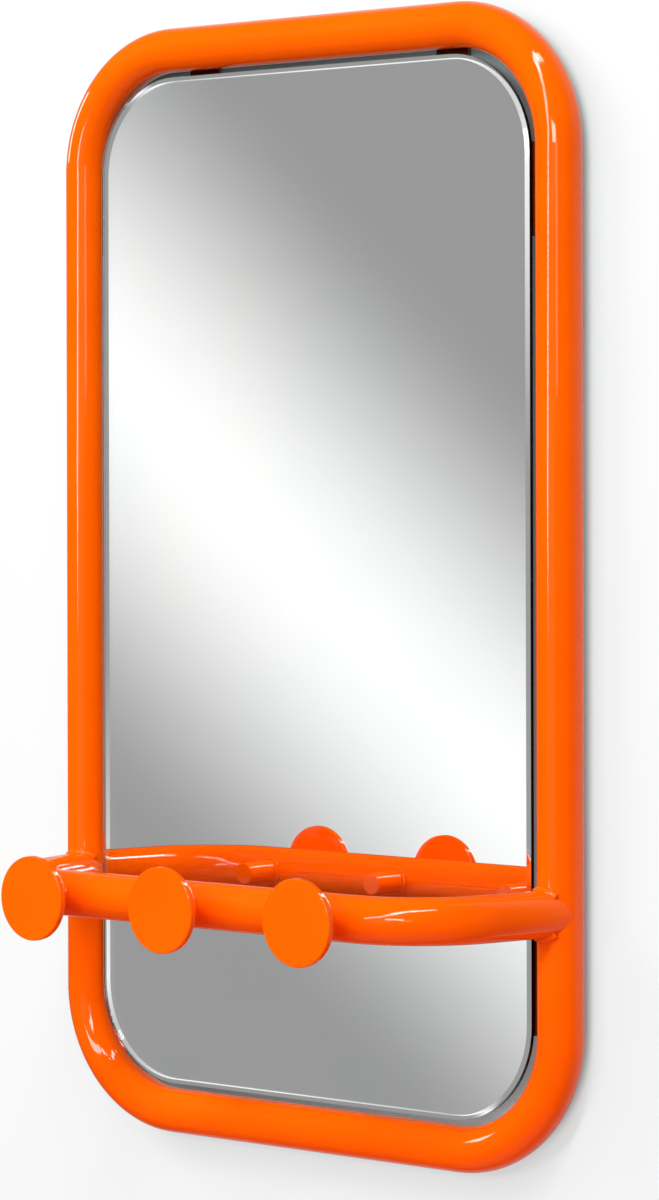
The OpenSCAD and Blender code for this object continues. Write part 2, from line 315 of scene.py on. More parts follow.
# Vertices of a CAD node that lie closer than this are one
MERGE = 0.01 * MM


def ripple_share(tree, given):
    """A bead's radius along its line, as a share: a dome for each pitch, like overlapping coins."""
    along = add(tree, "GeometryNodeSplineParameter")
    turn = add(tree, "ShaderNodeMath", [(0, along, "Length"), (1, given, "Ripple Pitch")],
               operation="DIVIDE")
    angle = add(tree, "ShaderNodeMath", [(0, turn, 0)], {1: math.pi}, operation="MULTIPLY")
    wave = add(tree, "ShaderNodeMath", [(0, angle, 0)], operation="SINE")
    crest = add(tree, "ShaderNodeMath", [(0, wave, 0)], operation="ABSOLUTE")
    swell = add(tree, "ShaderNodeMath", [(0, crest, 0), (1, given, "Ripple Depth")],
                operation="MULTIPLY")
    base = add(tree, "ShaderNodeMath", [(1, given, "Ripple Depth")], {0: 1.0}, operation="SUBTRACT")
    return add(tree, "ShaderNodeMath", [(0, base, 0), (1, swell, 0)], operation="ADD")


def bead_tree():
    """Geometry Nodes: a line of edges becomes a rippled weld bead."""
    tree = bpy.data.node_groups.new("rippled_bead", "GeometryNodeTree")
    face = tree.interface
    face.new_socket("Geometry", in_out="INPUT", socket_type="NodeSocketGeometry")
    for name in ("Bead Radius", "Ripple Pitch", "Ripple Depth"):
        face.new_socket(name, in_out="INPUT", socket_type="NodeSocketFloat")
    face.new_socket("Finish", in_out="INPUT", socket_type="NodeSocketMaterial")
    face.new_socket("Geometry", in_out="OUTPUT", socket_type="NodeSocketGeometry")
    given = add(tree, "NodeGroupInput")
    step = add(tree, "ShaderNodeMath", [(0, given, "Ripple Pitch")], {1: RIPPLE_STEPS},
               operation="DIVIDE")
    line = add(tree, "GeometryNodeMeshToCurve", [("Mesh", given, "Geometry")])
    fine = add(tree, "GeometryNodeResampleCurve", [("Curve", line, "Curve"), ("Length", step, 0)],
               mode="LENGTH")
    ripple = ripple_share(tree, given)
    width = add(tree, "GeometryNodeInputNamedAttribute", inputs={"Name": "bead_width"},
                data_type="FLOAT")
    size = add(tree, "ShaderNodeMath", [(0, ripple, 0), (1, width, "Attribute")],
               operation="MULTIPLY")
    radius = add(tree, "GeometryNodeSetCurveRadius", [("Curve", fine, "Curve"), ("Radius", size, 0)])
    section = add(tree, "GeometryNodeCurvePrimitiveCircle", [("Radius", given, "Bead Radius")],
                  {"Resolution": BEAD_SIDES})
    solid = add(tree, "GeometryNodeCurveToMesh",
                [("Curve", radius, "Curve"), ("Profile Curve", section, "Curve")],
                {"Fill Caps": True})
    smooth = add(tree, "GeometryNodeSetShadeSmooth", [("Geometry", solid, "Mesh")])
    real = add(tree, "GeometryNodeRealizeInstances", [("Geometry", smooth, "Geometry")])
    coated = add(tree, "GeometryNodeSetMaterial",
                 [("Geometry", real, "Geometry"), ("Material", given, "Finish")])
    add(tree, "NodeGroupOutput", [("Geometry", coated, "Geometry")])
    return tree


def bead_lines(name, lines):
    """A mesh of edges from (points, widths, closed) lines."""
    points, widths, edges = [], [], []
    for line, width, closed in lines:
        first = len(points)
        points += line
        widths += width
        last = len(points) - 1
        edges += [(i, i + 1) for i in range(first, last)]
        if closed:
            edges.append((last, first))
    mesh = bpy.data.meshes.new(name)
    mesh.from_pydata(points, edges, [])
    mesh.attributes.new("bead_width", "FLOAT", "POINT").data.foreach_set("value", widths)
    return mesh


def bead_mesh(name, lines, tree, radius, sizes, mat):
    """The plain mesh of the beads that the tree lays along the lines."""
    source = bpy.data.objects.new(name + "_lines", bead_lines(name + "_lines", lines))
    bpy.context.scene.collection.objects.link(source)
    modifier = source.modifiers.new("bead", "NODES")
    modifier.node_group = tree
    values = {"Bead Radius": radius, "Ripple Pitch": sizes.ripple_pitch,
              "Ripple Depth": sizes.ripple_depth, "Finish": mat}
    for socket in tree.interface.items_tree:
        if socket.in_out == "INPUT" and socket.name in values:
            modifier[socket.identifier] = values[socket.name]
    source.update_tag()
    graph = bpy.context.evaluated_depsgraph_get()
    mesh = bpy.data.meshes.new_from_object(source.evaluated_get(graph))
    bpy.data.objects.remove(source)
    mesh.name = name
    return mesh


def weld_piece(name, node, lines, tree, radius, sizes, mat):
    """Lays beads along the lines as one piece that stands for a CAD weld node."""
    mesh = bead_mesh(name, lines, tree, radius, sizes, mat)
    if len(mesh.polygons) == 0:
        raise RuntimeError(f"no bead was made for {node}")
    piece = bpy.data.objects.new(name, mesh)
    bpy.context.scene.collection.objects.link(piece)
    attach(piece, BODY)
    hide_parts(node)


def thinning(steps, end_width, rate):
    """Widths along an open bead, from that at its ends to full after 1 / rate of its length."""
    return [end_width + (1 - end_width) * min(1.0, rate * min(i, steps - i) / steps)
            for i in range(steps + 1)]


def ring(point):
    """Closed line of points from a function of the angle."""
    points = [point(2 * math.pi * i / RING_STEPS) for i in range(RING_STEPS)]
    return points, [1.0] * RING_STEPS, True


def arc(start, end, point):
    """Open line of points between two angles in degrees, from a function of the angle."""
    points = [point(math.radians(start + (end - start) * i / ARC_STEPS))
              for i in range(ARC_STEPS + 1)]
    return points, thinning(ARC_STEPS, end_width=0.35, rate=5), False


def straight(a, b):
    """Open line of points between two ends."""
    points = [tuple(a.lerp(b, i / STRAIGHT_STEPS)) for i in range(STRAIGHT_STEPS + 1)]
    return points, thinning(STRAIGHT_STEPS, end_width=0.55, rate=4), False


def arm_joint(side):
    """Where an arm's surface meets its stile, by the angle round the arm. Side is -1 or 1."""
    along = Vector((-side * math.cos(LEG_ANGLE), -math.sin(LEG_ANGLE), 0))
    across = Vector((math.sin(LEG_ANGLE), -side * math.cos(LEG_ANGLE), 0))
    start = Vector((side * STILE_X, FRAME_Y, RAIL_Z))
    r = RAIL_R + BEAD_LIFT

    def point(a):
        reach = math.sqrt((r * math.sin(a)) ** 2 + ARM_BEAD_EASE ** 2)
        on_arm = across * (r * math.cos(a)) + Vector((0, 0, r * math.sin(a)))
        return tuple(start + along * reach + on_arm)

    return point


def peg_joint(x, side):
    """Where a hook bar leaves the rail, in front (side -1) or behind (side 1)."""
    r = PEG_R + BEAD_LIFT

    def point(a):
        depth = math.sqrt(RAIL_R ** 2 - (r * math.sin(a)) ** 2) + BEAD_LIFT
        return x + r * math.cos(a), RAIL_Y + side * depth, RAIL_Z + r * math.sin(a)

    return point


def disc_joint(x):
    """Around a hook bar where it meets the back of its disc."""
    r = PEG_R + BEAD_LIFT

    def point(a):
        return x + r * math.cos(a), DISC_BACK + BEAD_LIFT, RAIL_Z + r * math.sin(a)

    return point


def solids_of(node):
    """The points of each separate solid of a CAD node, whose mesh is loose triangles."""
    mesh = frame["nodes"][node].data
    parent = list(range(len(mesh.vertices)))

    def root(i):
        while parent[i] != i:
            parent[i] = parent[parent[i]]
            i = parent[i]
        return i

    where = {}
    for v in mesh.vertices:
        key = tuple(round(c / MERGE) for c in v.co)
        parent[root(v.index)] = root(where.setdefault(key, v.index))
    for triangle in mesh.polygons:
        for i in triangle.vertices[1:]:
            parent[root(i)] = root(triangle.vertices[0])
    solids = {}
    for v in mesh.vertices:
        solids.setdefault(root(v.index), []).append(v.co)
    return solids.values()


def plate_joints(node, half):
    """A straight bead through each solid of a CAD weld node, reaching half to each side of its
    middle."""
    lines = []
    for points in solids_of(node):
        low = Vector([min(p[i] for p in points) for i in range(3)])
        high = Vector([max(p[i] for p in points) for i in range(3)])
        middle = (low + high) / 2
        lines.append(straight(middle - half, middle + half))
    return lines


# ---- Wall paint ----

# A spot's open share: of all ways out from it, the part in which nothing stands this near
# (metres), and how many of them are tried
OPEN_REACH = 0.12
OPEN_TRIES = 16

# Painted correction of light: share of its red that the paint keeps where the wall is closed in, which
# cancels the red light that the frame's paint bounces onto the wall there
RED_KEPT_AGAINST_BOUNCE = 0.72

# What follows the open share: how plain the paint's tone is against its painted red correction, how
# bright the mixed-in glowing white is to the eye and in gloss, and how much of that white gloss finds
TONE_BY_OPEN = {"From Min": 0.3, "From Max": 1.0}
GAP_BY_OPEN = {"From Min": 0.15, "From Max": 0.45, "To Min": 0.1, "To Max": 0.95}
GLOSS_BY_OPEN = {"From Min": 0.8, "From Max": 1.0, "To Min": 0.6, "To Max": 0.0}
SHARE_BY_OPEN = {"From Min": 0.8, "From Max": 1.0, "To Min": 0.4, "To Max": 0.95}

# Share of the white in what diffuse rays find on the wall
BOUNCED_SHARE = 0.55

# The gaps are up to this many times paler towards the lower right than halfway, and as many
# times darker towards the upper left
SPILL = 3.5

# The camera looks in from the right, so the wall that it sees behind the frame is shifted this
# far to the left. Its edge fades over this width
BEHIND_SHIFT = -6 * MM
BEHIND_FADE = 8 * MM


def behind_frame(tree, place):
    """1 on the wall within the frame's outline, falling to 0 at the middle line of its tubes."""
    apart = add(tree, "ShaderNodeVectorMath", [(0, place, 0)], operation="ABSOLUTE")
    past = add(tree, "ShaderNodeVectorMath", [(0, apart, 0)],
               {1: (STILE_X - BEND_R, 1.0, HALF_Z - BEND_R)}, operation="SUBTRACT")
    corner = add(tree, "ShaderNodeVectorMath", [(0, past, 0)], operation="MAXIMUM")
    reach = add(tree, "ShaderNodeVectorMath", [(0, corner, 0)], operation="LENGTH")
    return add(tree, "ShaderNodeMapRange", [("Value", reach, "Value")],
               {"From Min": BEND_R - BEHIND_FADE, "From Max": BEND_R, "To Min": 1.0, "To Max": 0.0})


def gap_shade(tree, coords, open_air):
    """How bright the glowing white is to the eye, with painted light and shade: light from the upper
    left spills past the glass, so behind the frame the wall is painted dark at the upper left and
    paler at the lower right."""
    gap = add(tree, "ShaderNodeMapRange", [("Value", open_air, "AO")], GAP_BY_OPEN)
    place = add(tree, "ShaderNodeVectorMath", [(0, coords, "Object")],
                {1: (BEHIND_SHIFT, 0, FRAME_Z)}, operation="SUBTRACT")
    behind = behind_frame(tree, place)
    slope = add(tree, "ShaderNodeVectorMath", [(0, place, 0)],
                {1: (0.5 / STILE_X, 0, -0.5 / HALF_Z)}, operation="DOT_PRODUCT")
    tilt = add(tree, "ShaderNodeMath", [(0, slope, "Value"), (1, behind, "Result")],
               operation="MULTIPLY")
    spill = add(tree, "ShaderNodeMath", [(1, tilt, 0)], {0: SPILL}, operation="POWER")
    return add(tree, "ShaderNodeMath", [(0, gap, "Result"), (1, spill, 0)], operation="MULTIPLY")


def wall_white(tree, coords, open_air, to_eye, in_gloss):
    """The plain white that glows in the wall's paint, with painted shade: darker in the gaps and in
    gloss.
    """
    shade = gap_shade(tree, coords, open_air)
    beside = add(tree, "ShaderNodeMapRange", [("Value", open_air, "AO")], GLOSS_BY_OPEN)
    seen = add(tree, "ShaderNodeMath", [(0, to_eye, 0), (1, shade, 0)], operation="MULTIPLY")
    level = add(tree, "ShaderNodeMath", [(0, in_gloss, 0), (1, beside, "Result"), (2, seen, 0)],
                operation="MULTIPLY_ADD")
    return add(tree, "ShaderNodeEmission", [("Strength", level, 0)], {"Color": (1, 1, 1, 1)})


def white_share(tree, path, open_air, to_eye, in_gloss, lift):
    """Share of that white in what the eye, gloss and diffuse rays find."""
    darker = add(tree, "ShaderNodeMapRange", [("Value", open_air, "AO")], SHARE_BY_OPEN)
    bounced = add(tree, "ShaderNodeMath", [(0, path, "Is Diffuse Ray")], {1: BOUNCED_SHARE},
                  operation="MULTIPLY")
    dimmed = add(tree, "ShaderNodeMath", [(0, in_gloss, 0), (1, darker, "Result"), (2, bounced, 0)],
                 operation="MULTIPLY_ADD", use_clamp=True)
    return add(tree, "ShaderNodeMath", [(0, to_eye, 0), (2, dimmed, 0)], {1: lift},
               operation="MULTIPLY_ADD")


def wall_paint(tone, lift):
    """Matte pale emulsion on plaster, rolled on: it shows no gloss, only its front shows, and lamps
    behind it shine through it. Near the frame its red is painted down against the frame's red bounce,
    and a glowing white with painted shade is mixed in."""
    mat, tree, shader, coords = blank_material("pale_wall_paint")
    shader.inputs["Roughness"].default_value = 1.0
    shader.inputs["Specular IOR Level"].default_value = 0.0
    path = add(tree, "ShaderNodeLightPath")
    to_eye = add(tree, "ShaderNodeMath",
                 [(0, path, "Is Camera Ray"), (1, path, "Is Transmission Ray")],
                 operation="MAXIMUM")
    # Rays through the glass may count as glossy too, so they are taken out here
    in_gloss = add(tree, "ShaderNodeMath",
                   [(0, path, "Is Glossy Ray"), (1, path, "Is Transmission Ray")],
                   operation="SUBTRACT", use_clamp=True)
    open_air = add(tree, "ShaderNodeAmbientOcclusion", inputs={"Distance": OPEN_REACH},
                   samples=OPEN_TRIES)
    # Painted correction of light: near the frame the paint loses red, against the red light bounced
    # off the frame
    plain = add(tree, "ShaderNodeMapRange", [("Value", open_air, "AO")], TONE_BY_OPEN)
    paint = add(tree, "ShaderNodeMix", [("Factor", plain, "Result")],
                {6: (RED_KEPT_AGAINST_BOUNCE * tone[0], tone[1], tone[2], 1.0), 7: (*tone, 1.0)}, data_type="RGBA")
    tree.links.new(paint.outputs[2], shader.inputs["Base Color"])
    white = wall_white(tree, coords, open_air, to_eye, in_gloss)
    share = white_share(tree, path, open_air, to_eye, in_gloss, lift)
    lit = add(tree, "ShaderNodeMixShader",
              [(0, share, 0), (1, shader, "BSDF"), (2, white, "Emission")])
    clear = add(tree, "ShaderNodeBsdfTransparent")
    side = add(tree, "ShaderNodeNewGeometry")
    unseen = add(tree, "ShaderNodeMath", [(0, side, "Backfacing"), (1, path, "Is Shadow Ray")],
                 operation="MAXIMUM")
    both = add(tree, "ShaderNodeMixShader", [(0, unseen, 0), (1, lit, "Shader"), (2, clear, "BSDF")])
    output = next(n for n in tree.nodes if n.type == "OUTPUT_MATERIAL")
    tree.links.new(both.outputs["Shader"], output.inputs["Surface"])
    return mat


# ---- Wall, floor and lamps ----

# Half the width of the wall, which is also the depth of the floor, the height of the wall's top
# above the part's origin, and the wall's distance behind the part (metres)
STAGE_HALF = 6.0
WALL_TOP = 4.0
WALL_GAP = 0.0005

# The lamps that gloss shows, at this distance (metres): azimuth, elevation, width, height and
# lean (degrees), radiance, and the CAD nodes they are kept to
STUDIO_DISTANCE = 5.0
STUDIO_LAMPS = (
    ("far_left", -87, 15, 13, 12, 0, 8.0, ("frame_bend_top_left", "frame_left_stile")),
    ("left", -57, 16, 10, 10, 0, 12.0, ("frame_bend_bottom_right", "frame_bottom_tube")),
    ("slant_low", -8, 12, 5, 38, -47, 11.0, ()),
    ("slant_middle", 14, 35, 5, 20, -35, 13.0, ()),
    ("slant_high", 23, 48, 6, 24, -41, 18.0, ()),
    ("overhead", 47, 57, 6, 18, -66, 14.0, ()),
    ("right_low", 18.5, 12, 16, 7, 0, 15.0, ()),
    ("right_skirt", 28, 6, 11, 7, 0, 2.0, ()),
    ("soft_front", -5, 0, 40, 16, 0, 0.2, ()),
)

# The lamps that gloss doesn't show: azimuth, elevation (degrees), distance, side (metres)
KEY_LAMP = (-50, 32, 2.6, 1.2)
BACK_LAMP = (180, 10, 2.5, 2.0)
WARM_LAMPS = {"warm_right": (75, -20, 1.1, 1.2), "warm_below": (-10, -65, 1.1, 1.2)}
WARM_TINT = (1.0, 0.04, 0.0)

# The light that the mirror returns: lamp's width and height, distance off the glass and above
# the rail's middle (metres), the way it faces and its tint
GLASS_LAMP_SIZE = (0.34, 0.19)
GLASS_LAMP_OFF = 2 * MM
GLASS_LAMP_UP = 40 * MM
GLASS_LAMP_WAY = Vector((0, -1, -0.45))
GLASS_LAMP_TINT = (1.0, 0.55, 0.33)


def plane(name, corners, mat):
    """A stage plane whose front is given by the order of its corners."""
    mesh = bpy.data.meshes.new(name)
    mesh.from_pydata(corners, [], [tuple(range(len(corners)))])
    mesh.materials.append(mat)
    obj = bpy.data.objects.new(name, mesh)
    bpy.context.scene.collection.objects.link(obj)
    return obj


def wall_and_floor(sizes):
    """The wall close behind the part, and the floor, which gloss, glass and diffuse rays miss."""
    pale = wall_paint(sizes.wall_tone, sizes.wall_lift)
    half, low = STAGE_HALF, sizes.floor_drop
    plane("wall", [(-half, WALL_GAP, low), (half, WALL_GAP, low),
                   (half, WALL_GAP, WALL_TOP), (-half, WALL_GAP, WALL_TOP)], pale)
    floor = plane("floor", [(-half, -half, low), (half, -half, low),
                            (half, WALL_GAP, low), (-half, WALL_GAP, low)], pale)
    floor.visible_transmission = floor.visible_glossy = floor.visible_diffuse = False


def around(azimuth, elevation, distance, aim=MIDDLE):
    """Point at that direction from aim. Azimuth 0 is straight out from the wall, + to the right."""
    a, e = math.radians(azimuth), math.radians(elevation)
    return Vector(aim) + distance * Vector(
        (math.sin(a) * math.cos(e), -math.cos(a) * math.cos(e), math.sin(e)))


def lamp(name, place, aim, size, power, lean=0.0, mirrored=False):
    """A rectangular lamp aimed at a point, turned by lean degrees, which the camera never sees."""
    data = bpy.data.lights.new(name, "AREA")
    data.shape = "RECTANGLE"
    data.size, data.size_y = size
    data.energy = power
    obj = bpy.data.objects.new(name, data)
    obj.location = place
    turn = (aim - place).to_track_quat("-Z", "Y")
    obj.rotation_euler = (turn @ Quaternion((0, 0, 1), math.radians(lean))).to_euler()
    obj.visible_camera = False
    obj.visible_glossy = obj.visible_transmission = mirrored
    bpy.context.scene.collection.objects.link(obj)
    return obj


def soft_lamp(name, where, power):
    """A square lamp that faces the part's middle and that gloss doesn't show."""
    azimuth, elevation, distance, side = where
    return lamp(name, around(azimuth, elevation, distance), MIDDLE, (side, side), power)


def keep_to(light, pieces, tint=(1.0, 1.0, 1.0)):
    """Keeps a lamp to a collection of pieces, and tints it."""
    light.data.color = tint
    light.light_linking.receiver_collection = pieces


def collected(name, pieces):
    """A collection of pieces for a lamp to be kept to."""
    made = bpy.data.collections.new(name)
    for piece in pieces:
        made.objects.link(piece)
    return made


def studio_lamps(level):
    """The lamps that gloss shows, some of them kept to the pieces that show them."""
    for name, azimuth, elevation, wide, tall, lean, radiance, nodes in STUDIO_LAMPS:
        width, height = (2 * STUDIO_DISTANCE * math.tan(math.radians(a) / 2) for a in (wide, tall))
        power = level * radiance * math.pi * width * height
        light = lamp(name, around(azimuth, elevation, STUDIO_DISTANCE), MIDDLE, (width, height),
                     power, lean, mirrored=True)
        if nodes:
            keep_to(light, collected(name + "_pieces", [frame["nodes"][n] for n in nodes]))


def fill_painted_pieces(sizes):
    """The light that the mirror returns and the warm light in the shaded sides of the paint."""
    nodes = [frame["nodes"][n] for n in TUBES + RAIL + PEGS + DISCS]
    painted = collected("painted_pieces", nodes + [bpy.data.objects[n] for n in RAIL_BEADS])
    front = Vector((0, GLASS_FRONT - GLASS_LAMP_OFF, RAIL_Z + GLASS_LAMP_UP))
    returned = lamp("from_glass", front, front + GLASS_LAMP_WAY, GLASS_LAMP_SIZE, sizes.glass_power)
    keep_to(returned, painted, GLASS_LAMP_TINT)
    for name, where in WARM_LAMPS.items():
        warm = soft_lamp(name, where, sizes.warm_power)
        warm.data.cycles.max_bounces = 0
        keep_to(warm, painted, WARM_TINT)


# ---- Surroundings ----

# The soft panel that the glass shows lies along a slanted line, in radians. The line goes to the
# left by this much for each radian of height, and by this much more all along
PANEL_SLANT = 0.95
PANEL_OFFSET = 0.0261

# By radians from that line, the panel fades and then ends. Past it the level follows the height
PANEL_FADE = {"From Min": 0.0, "From Max": 0.1, "To Min": 1.12, "To Max": 0.35}
PANEL_END = {"From Min": 0.2, "From Max": 0.3, "To Min": 0.0, "To Max": 1.0}
SHADE_BY_HEIGHT = {"From Min": 0.12, "From Max": 0.22, "To Min": 0.3, "To Max": 0.05}

# The pale floor that gloss shows, by height in radians
FLOOR_IN_GLOSS = {"From Min": -1.05, "From Max": -0.86, "To Min": 0.18, "To Max": 0.02}

# The azimuth and elevation that the soft light comes from (degrees), and its level as a share of
# the ambient one, from the side away from there to that side
SOFT_SIDE = (-35, 35)
SOFT_LEVELS = (0.3, 1.7)

# The camera that was fitted to the photograph: metres, radians, and millimetres for its sensor
# and its lens
CAMERA_PLACE = (1.89575, -2.22659, -0.26165)
CAMERA_TURN = (math.radians(90) - 0.0002, 0.0025, 0.7114)
CAMERA_SENSOR = 36.0
CAMERA_LENS = 124.017
CAMERA_SHIFT = (0.02135, -0.11536)
CAMERA_CLIP = (0.05, 50.0)


def in_glass(tree, azimuth, rise):
    """Level that the glass shows: the slanted soft panel, and the shade to its sides. The camera's
    turn is the azimuth, to the left, in which the mirror returns its view."""
    off = add(tree, "ShaderNodeMath", [(0, azimuth, 0)], {1: CAMERA_TURN[2]}, operation="ADD")
    slant = add(tree, "ShaderNodeMath", [(0, rise, 0)], {1: PANEL_SLANT, 2: PANEL_OFFSET},
                operation="MULTIPLY_ADD")
    across = add(tree, "ShaderNodeMath", [(0, off, 0), (1, slant, 0)], operation="ADD")
    away = add(tree, "ShaderNodeMath", [(0, across, 0)], operation="ABSOLUTE")
    panel = add(tree, "ShaderNodeMapRange", [("Value", away, 0)], PANEL_FADE,
                interpolation_type="SMOOTHSTEP")
    shade = add(tree, "ShaderNodeMapRange", [("Value", rise, 0)], SHADE_BY_HEIGHT)
    end = add(tree, "ShaderNodeMapRange", [("Value", away, 0)], PANEL_END,
              interpolation_type="SMOOTHSTEP")
    return add(tree, "ShaderNodeMix", [(0, end, "Result"), (2, panel, "Result"), (3, shade, "Result")],
               data_type="FLOAT")


def to_matte(tree, coords, ambient):
    """Level that matte surfaces find: soft light, more of it from the upper left."""
    facing = add(tree, "ShaderNodeVectorMath", [(0, coords, "Generated")],
                 {1: around(*SOFT_SIDE, 1.0, (0, 0, 0))}, operation="DOT_PRODUCT")
    low, high = SOFT_LEVELS
    return add(tree, "ShaderNodeMapRange", [("Value", facing, "Value")],
               {"From Min": -1.0, "From Max": 1.0, "To Min": low * ambient, "To Max": high * ambient})


def surroundings(ambient):
    """White to the eye, soft light from the upper left to matte surfaces, a dark studio with a
    pale floor to gloss, and a slanted soft panel to what looks through the glass."""
    world = bpy.data.worlds.new("studio")
    bpy.context.scene.world = world
    world.use_nodes = True
    tree = world.node_tree
    tree.nodes.clear()
    coords = add(tree, "ShaderNodeTexCoord")
    ray = add(tree, "ShaderNodeSeparateXYZ", [("Vector", coords, "Generated")])
    out = add(tree, "ShaderNodeMath", [(0, ray, "Y")], {1: -1.0}, operation="MULTIPLY")
    azimuth = add(tree, "ShaderNodeMath", [(0, ray, "X"), (1, out, 0)], operation="ARCTAN2")
    rise = add(tree, "ShaderNodeMath", [(0, ray, "Z")], operation="ARCSINE")
    mirrored = in_glass(tree, azimuth, rise)
    below = add(tree, "ShaderNodeMapRange", [("Value", rise, 0)], FLOOR_IN_GLOSS,
                interpolation_type="SMOOTHSTEP")
    soft = to_matte(tree, coords, ambient)
    path = add(tree, "ShaderNodeLightPath")
    gloss = add(tree, "ShaderNodeMix",
                [(0, path, "Is Glossy Ray"), (2, soft, "Result"), (3, below, "Result")],
                data_type="FLOAT")
    glass = add(tree, "ShaderNodeMix",
                [(0, path, "Is Transmission Ray"), (2, gloss, 0), (3, mirrored, 0)],
                data_type="FLOAT")
    level = add(tree, "ShaderNodeMix", [(0, path, "Is Camera Ray"), (2, glass, 0)], {3: 1.0},
                data_type="FLOAT")
    sky = add(tree, "ShaderNodeBackground", [("Strength", level, 0)], {"Color": (1, 1, 1, 1)})
    add(tree, "ShaderNodeOutputWorld", [("Surface", sky, "Background")])


def fitted_camera():
    """The camera that stands where the photograph was taken from."""
    camera = bpy.data.objects.new("camera", bpy.data.cameras.new("camera"))
    bpy.context.scene.collection.objects.link(camera)
    camera.location = CAMERA_PLACE
    camera.rotation_euler = CAMERA_TURN
    camera.data.sensor_width = CAMERA_SENSOR
    camera.data.lens = CAMERA_LENS
    camera.data.shift_x, camera.data.shift_y = CAMERA_SHIFT
    camera.data.clip_start, camera.data.clip_end = CAMERA_CLIP
    return camera


# ---- Settings ----

class MIRROR_PG_paint(bpy.types.PropertyGroup):
    deep_tone: FloatVectorProperty(name="Deep tone", description="Deeper of the paint's two tones",
                                   default=linear("#FC6500")[:3], size=3, min=0.0, max=1.0,
                                   subtype="COLOR")
    bright_tone: FloatVectorProperty(name="Bright tone",
                                     description="Brighter of the paint's two tones",
                                     default=linear("#FF6901")[:3], size=3, min=0.0, max=1.0,
                                     subtype="COLOR")
    gloss_low: FloatProperty(name="Gloss low", description="Roughness of the glossiest paint",
                             default=0.03, min=0.0, max=1.0, subtype="FACTOR")
    gloss_high: FloatProperty(name="Gloss high", description="Roughness of the dullest paint",
                              default=0.07, min=0.0, max=1.0, subtype="FACTOR")
    peel_size: FloatProperty(name="Peel size", description="Width of the orange peel's waves",
                             default=4.0 * MM, min=0.5 * MM, max=20 * MM, subtype="DISTANCE",
                             unit="LENGTH", precision=4)
    peel_depth: FloatProperty(name="Peel depth", description="Depth of the orange peel's waves",
                              default=0.012 * MM, min=0.0, max=0.5 * MM, subtype="DISTANCE",
                              unit="LENGTH", precision=6)


class MIRROR_PG_welds(bpy.types.PropertyGroup):
    rail_bead: FloatProperty(name="Rail bead", description="Radius of the beads at the rail's ends",
                             default=2.7 * MM, min=0.5 * MM, max=5 * MM, subtype="DISTANCE",
                             unit="LENGTH", precision=4)
    hook_bead: FloatProperty(name="Hook bead", description="Radius of the beads on the hook bars",
                             default=1.7 * MM, min=0.5 * MM, max=4 * MM, subtype="DISTANCE",
                             unit="LENGTH", precision=4)
    plate_bead: FloatProperty(name="Plate bead", description="Radius of the beads on the plates",
                              default=1.6 * MM, min=0.5 * MM, max=4 * MM, subtype="DISTANCE",
                              unit="LENGTH", precision=4)
    ripple_pitch: FloatProperty(name="Ripple pitch", description="Distance between a bead's ripples",
                                default=2.0 * MM, min=0.5 * MM, max=6 * MM, subtype="DISTANCE",
                                unit="LENGTH", precision=4)
    ripple_depth: FloatProperty(name="Ripple depth",
                                description="Share of a bead's radius in its ripples",
                                default=0.22, min=0.0, max=0.6, subtype="FACTOR")


class MIRROR_PG_stage(bpy.types.PropertyGroup):
    wall_tone: FloatVectorProperty(name="Wall", description="Colour of the wall and the floor",
                                   default=linear("#F2F2F2")[:3], size=3, min=0.0, max=1.0,
                                   subtype="COLOR")
    wall_lift: FloatProperty(name="Wall lift",
                             description="Share of plain white in the wall as the camera sees it",
                             default=0.6, min=0.0, max=1.0, subtype="FACTOR")
    key_power: FloatProperty(name="Key", description="Power of the broad lamp from the upper left",
                             default=28.0, min=0.0, max=1000.0, unit="POWER")
    studio_level: FloatProperty(name="Studio lamps",
                                description="Level of the lamps that gloss shows",
                                default=1.0, min=0.0, max=10.0, subtype="FACTOR")
    glass_power: FloatProperty(name="From the glass",
                               description="Power of the light that the mirror returns",
                               default=0.5, min=0.0, max=50.0, unit="POWER")
    warm_power: FloatProperty(name="Warm fill",
                              description="Power of each warm lamp on the paint's shaded sides",
                              default=3.5, min=0.0, max=1000.0, unit="POWER")
    back_power: FloatProperty(name="Back", description="Power of the lamp behind the wall",
                              default=55.0, min=0.0, max=1000.0, unit="POWER")
    ambient: FloatProperty(name="Ambient", description="Level of the light from all round",
                           default=0.24, min=0.0, max=1.0, subtype="FACTOR")
    floor_drop: FloatProperty(name="Floor", description="Height of the floor",
                              default=-1.6, min=-3.0, max=-0.8, subtype="DISTANCE", unit="LENGTH")


class MIRROR_PG_settings(bpy.types.PropertyGroup):
    paint: PointerProperty(type=MIRROR_PG_paint, name="Paint")
    welds: PointerProperty(type=MIRROR_PG_welds, name="Welds")
    stage: PointerProperty(type=MIRROR_PG_stage, name="Stage")


# ---- Operators ----

class MIRROR_OT_coat_steel(bpy.types.Operator):
    """Powder coats the frame's tubes, the rail and the hooks, and the plates behind in darker tones
    that paint in their shade
    """
    bl_idname = "mirror.coat_steel"
    bl_label = "Coat the steel"

    def execute(self, context):
        paint = context.scene.mirror_settings.paint
        gloss = powder_coat("powder_coat_gloss", paint, full_coat(paint))
        for node in TUBES + RAIL + PEGS + DISCS:
            dress(node, gloss)
        # Painted shade: the plates sit in the dark gap behind the frame, so their coat is painted
        # darker
        shade_coat = powder_coat("powder_coat_plate_shade", paint, PLATE_SHADE_TONES)
        for node in PLATES:
            dress(node, shade_coat)
        return {"FINISHED"}


